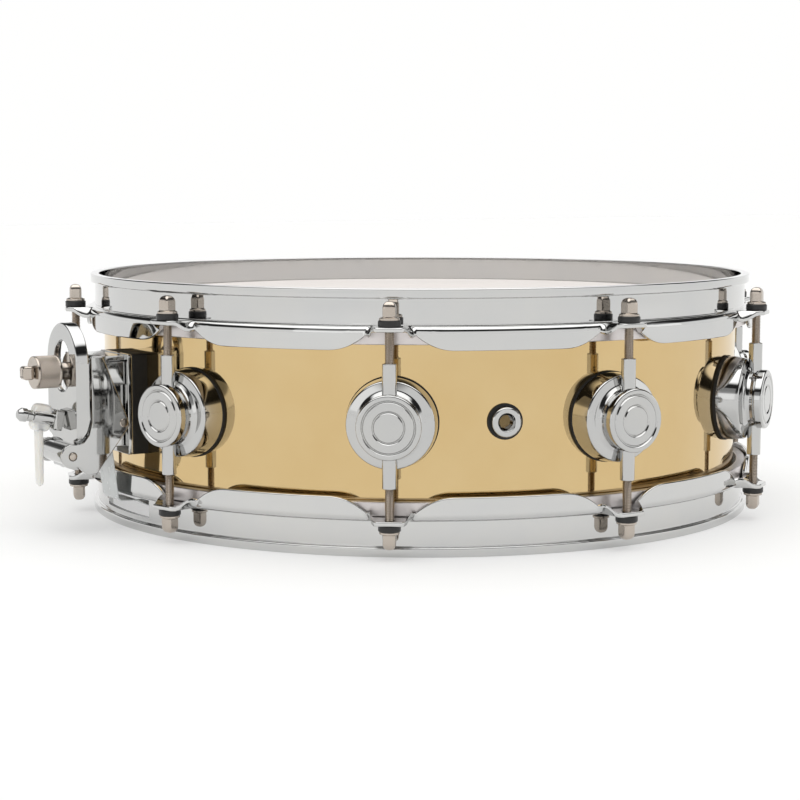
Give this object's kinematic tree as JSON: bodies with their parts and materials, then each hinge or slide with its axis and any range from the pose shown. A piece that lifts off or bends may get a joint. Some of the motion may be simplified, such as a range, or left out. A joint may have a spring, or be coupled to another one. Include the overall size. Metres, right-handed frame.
{
  "type": "snare drum",
  "caption": "Shallow snare drum with a polished brass shell, chrome triple-flanged hoops, round turret lugs, lever strainer and coiled snare wires.",
  "frame": {"origin": "on the drum's axis, in the plane of the lower rim that the drum rests on", "axes": "+Z from the snare side up to the batter (played) side; the strainer is at -X and the butt plate at +X; lugs lie every 36 degrees from -Y"},
  "size_m": [0.4394, 0.4008, 0.13],
  "materials": {
    "polished_brass": "mirror-polished and lacquered",
    "coated_film": "white sprayed coating on polyester film",
    "clear_film": "thin clear polyester film, slightly hazy",
    "flesh_aluminium": "rolled aluminium channel",
    "chrome_steel": "mirror chrome over pressed steel",
    "chrome_cast": "mirror chrome over turned or cast metal",
    "nickel_steel": "satin nickel over steel",
    "zinc_steel": "zinc-plated steel",
    "snare_steel": "drawn spring steel",
    "black_nylon": "moulded black nylon",
    "black_rubber": "moulded black rubber",
    "strap_film": "milky polyester strip",
    "white_nylon": "moulded natural nylon"
  },
  "bodies": {
    "drum": {"shell": "polished_brass", "batter_head": "coated_film", "snare_head": "clear_film", "batter_flesh_hoop": "flesh_aluminium", "snare_flesh_hoop": "flesh_aluminium", "batter_hoop": "chrome_steel", "snare_hoop": "chrome_steel", "rod_washers": "black_nylon", "lug_seats": "black_rubber", "lug_turrets": "chrome_cast", "lug_tubes": "chrome_cast", "lug_screws": "zinc_steel", "lug_screw_washers": "zinc_steel", "mount_screws": "zinc_steel", "vent_seat": "black_rubber", "vent_grommet": "chrome_cast", "vent_nut": "zinc_steel", "strainer_spacer": "black_rubber", "strainer_base": "chrome_cast", "lever_pin": "nickel_steel", "butt_spacer": "black_rubber", "butt_block": "chrome_cast", "butt_clamp": "chrome_cast", "butt_clamp_screws": "zinc_steel", "snare_strands": "snare_steel", "snare_end_plates": "snare_steel", "strainer_strap": "strap_film", "butt_strap": "strap_film"},
    "lever": {"strainer_lever": "chrome_cast", "lever_keeper": "nickel_steel"},
    "carriage": {"strap_carriage": "chrome_cast", "catch_magnet": "nickel_steel", "strap_clamp": "chrome_cast", "strap_clamp_screws": "zinc_steel", "adjuster_spring": "zinc_steel"},
    "knob": {"adjuster_knob": "nickel_steel", "adjuster_screw": "nickel_steel", "adjuster_washer": "nickel_steel"},
    "key": {"key_socket": "nickel_steel", "key_grip": "white_nylon"},
    "batter_rod_00": {"batter_rod_00": "nickel_steel"},
    "snare_rod_00": {"snare_rod_00": "nickel_steel"},
    "batter_rod_01": {"batter_rod_01": "nickel_steel"},
    "snare_rod_01": {"snare_rod_01": "nickel_steel"},
    "batter_rod_02": {"batter_rod_02": "nickel_steel"},
    "snare_rod_02": {"snare_rod_02": "nickel_steel"},
    "batter_rod_03": {"batter_rod_03": "nickel_steel"},
    "snare_rod_03": {"snare_rod_03": "nickel_steel"},
    "batter_rod_04": {"batter_rod_04": "nickel_steel"},
    "snare_rod_04": {"snare_rod_04": "nickel_steel"},
    "batter_rod_05": {"batter_rod_05": "nickel_steel"},
    "snare_rod_05": {"snare_rod_05": "nickel_steel"},
    "batter_rod_06": {"batter_rod_06": "nickel_steel"},
    "snare_rod_06": {"snare_rod_06": "nickel_steel"},
    "batter_rod_07": {"batter_rod_07": "nickel_steel"},
    "snare_rod_07": {"snare_rod_07": "nickel_steel"},
    "batter_rod_08": {"batter_rod_08": "nickel_steel"},
    "snare_rod_08": {"snare_rod_08": "nickel_steel"},
    "batter_rod_09": {"batter_rod_09": "nickel_steel"},
    "snare_rod_09": {"snare_rod_09": "nickel_steel"}
  },
  "joints": [
    {"name": "lever_throw", "type": "hinge", "parent": "drum", "child": "lever", "pos_m": [-0.2182, 0, 0.0413], "axis": [0, -1, 0], "range_deg": [0, 70]},
    {"name": "carriage_slide", "type": "slide", "parent": "drum", "child": "carriage", "axis": [0, 0, -1], "range_m": [0, 0.006], "deforming": ["strainer_strap"]},
    {"name": "knob_turn", "type": "hinge", "parent": "carriage", "child": "knob", "pos_m": [-0.2255, 0, 0.0835], "axis": [-1, 0, 0], "continuous": true},
    {"name": "key_pull", "type": "slide", "parent": "lever", "child": "key", "axis": [-0.9799, 0, 0.1994], "range_m": [0, 0.02]},
    {"name": "batter_rod_00_turn", "type": "hinge", "parent": "drum", "child": "batter_rod_00", "pos_m": [0, -0.1935, 0.12], "axis": [0, 0, 1], "continuous": true},
    {"name": "snare_rod_00_turn", "type": "hinge", "parent": "drum", "child": "snare_rod_00", "pos_m": [0, -0.1935, 0.01], "axis": [0, 0, -1], "continuous": true},
    {"name": "batter_rod_01_turn", "type": "hinge", "parent": "drum", "child": "batter_rod_01", "pos_m": [0.11374, -0.15654, 0.12], "axis": [0, 0, 1], "continuous": true},
    {"name": "snare_rod_01_turn", "type": "hinge", "parent": "drum", "child": "snare_rod_01", "pos_m": [0.11374, -0.15654, 0.01], "axis": [0, 0, -1], "continuous": true},
    {"name": "batter_rod_02_turn", "type": "hinge", "parent": "drum", "child": "batter_rod_02", "pos_m": [0.18403, -0.0598, 0.12], "axis": [0, 0, 1], "continuous": true},
    {"name": "snare_rod_02_turn", "type": "hinge", "parent": "drum", "child": "snare_rod_02", "pos_m": [0.18403, -0.0598, 0.01], "axis": [0, 0, -1], "continuous": true},
    {"name": "batter_rod_03_turn", "type": "hinge", "parent": "drum", "child": "batter_rod_03", "pos_m": [0.18403, 0.0598, 0.12], "axis": [0, 0, 1], "continuous": true},
    {"name": "snare_rod_03_turn", "type": "hinge", "parent": "drum", "child": "snare_rod_03", "pos_m": [0.18403, 0.0598, 0.01], "axis": [0, 0, -1], "continuous": true},
    {"name": "batter_rod_04_turn", "type": "hinge", "parent": "drum", "child": "batter_rod_04", "pos_m": [0.11374, 0.15654, 0.12], "axis": [0, 0, 1], "continuous": true},
    {"name": "snare_rod_04_turn", "type": "hinge", "parent": "drum", "child": "snare_rod_04", "pos_m": [0.11374, 0.15654, 0.01], "axis": [0, 0, -1], "continuous": true},
    {"name": "batter_rod_05_turn", "type": "hinge", "parent": "drum", "child": "batter_rod_05", "pos_m": [0, 0.1935, 0.12], "axis": [0, 0, 1], "continuous": true},
    {"name": "snare_rod_05_turn", "type": "hinge", "parent": "drum", "child": "snare_rod_05", "pos_m": [0, 0.1935, 0.01], "axis": [0, 0, -1], "continuous": true},
    {"name": "batter_rod_06_turn", "type": "hinge", "parent": "drum", "child": "batter_rod_06", "pos_m": [-0.11374, 0.15654, 0.12], "axis": [0, 0, 1], "continuous": true},
    {"name": "snare_rod_06_turn", "type": "hinge", "parent": "drum", "child": "snare_rod_06", "pos_m": [-0.11374, 0.15654, 0.01], "axis": [0, 0, -1], "continuous": true},
    {"name": "batter_rod_07_turn", "type": "hinge", "parent": "drum", "child": "batter_rod_07", "pos_m": [-0.18403, 0.0598, 0.12], "axis": [0, 0, 1], "continuous": true},
    {"name": "snare_rod_07_turn", "type": "hinge", "parent": "drum", "child": "snare_rod_07", "pos_m": [-0.18403, 0.0598, 0.01], "axis": [0, 0, -1], "continuous": true},
    {"name": "batter_rod_08_turn", "type": "hinge", "parent": "drum", "child": "batter_rod_08", "pos_m": [-0.18403, -0.0598, 0.12], "axis": [0, 0, 1], "continuous": true},
    {"name": "snare_rod_08_turn", "type": "hinge", "parent": "drum", "child": "snare_rod_08", "pos_m": [-0.18403, -0.0598, 0.01], "axis": [0, 0, -1], "continuous": true},
    {"name": "batter_rod_09_turn", "type": "hinge", "parent": "drum", "child": "batter_rod_09", "pos_m": [-0.11374, -0.15654, 0.12], "axis": [0, 0, 1], "continuous": true},
    {"name": "snare_rod_09_turn", "type": "hinge", "parent": "drum", "child": "snare_rod_09", "pos_m": [-0.11374, -0.15654, 0.01], "axis": [0, 0, -1], "continuous": true}
  ],
  "couplings": [
    {"joint": "carriage_slide", "follows": "lever_throw", "m_per_rad": 0.0049}
  ]
}
